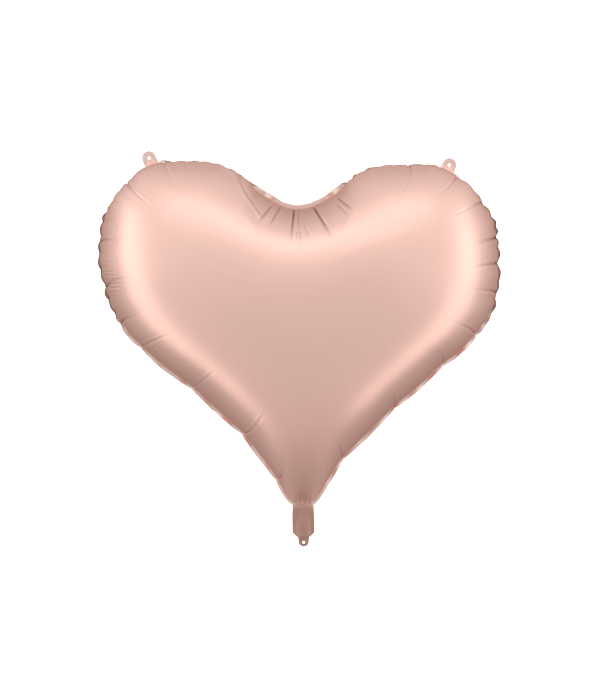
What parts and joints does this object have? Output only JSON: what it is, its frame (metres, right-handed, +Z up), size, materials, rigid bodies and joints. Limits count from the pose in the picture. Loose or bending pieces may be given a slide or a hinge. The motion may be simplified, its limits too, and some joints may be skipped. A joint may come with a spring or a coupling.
{
  "type": "heart-shaped foil balloon",
  "caption": "Inflated heart-shaped foil balloon with a sealed rim, hanging tabs, a filling tail with a self-sealing film valve, and a ribbon lug.",
  "frame": {"origin": "centre of the ribbon hole in the lug at the tail's end, in the middle of the seam plane", "axes": "+Z up from the tail to the lobes, +X to the right seen from the front, -Y out of the front panel"},
  "size_m": [0.6508, 0.27, 0.645],
  "materials": {
    "foil": "satin rose gold metallised film",
    "sealed_rim": "satin rose gold, heat sealed, finely creased",
    "tail_foil": "satin rose gold metallised film",
    "valve_film": "clear polyethylene film"
  },
  "bodies": {
    "envelope": {"front_panel": "foil", "back_panel": "foil", "seam_flange": "sealed_rim", "valve_film_back": "valve_film"},
    "left_tab": {"hanging_tab_left": "sealed_rim"},
    "right_tab": {"hanging_tab_right": "sealed_rim"},
    "tail": {"tail_front_ply": "tail_foil", "tail_back_ply": "tail_foil", "valve_film_front_entry": "valve_film", "valve_film_back_entry": "valve_film"},
    "lug": {"ribbon_lug": "tail_foil"},
    "valve_flap": {"valve_film_front_flap": "valve_film"}
  },
  "joints": [
    {"name": "left_tab_fold", "type": "hinge", "parent": "envelope", "child": "left_tab", "pos_m": [-0.2363, 0, 0.616], "axis": [0.9421, 0, 0.3355], "range_deg": [-90, 90], "stiffness_Nm_per_rad": 0.0005},
    {"name": "right_tab_fold", "type": "hinge", "parent": "envelope", "child": "right_tab", "pos_m": [0.2423, 0, 0.5993], "axis": [0.9114, 0, -0.4115], "range_deg": [-90, 90], "stiffness_Nm_per_rad": 0.0005},
    {"name": "tail_fold", "type": "hinge", "parent": "envelope", "child": "tail", "pos_m": [0, 0, 0.05865], "axis": [1, 0, 0], "range_deg": [-95, 95]},
    {"name": "lug_fold", "type": "hinge", "parent": "tail", "child": "lug", "pos_m": [0, 0, 0.0084], "axis": [1, 0, 0], "range_deg": [-85, 100]},
    {"name": "valve_flap_open", "type": "hinge", "parent": "envelope", "child": "valve_flap", "pos_m": [0, -0.00017, 0.0695], "axis": [1, 0, 0], "range_deg": [0, 12], "stiffness_Nm_per_rad": 0.0005}
  ]
}
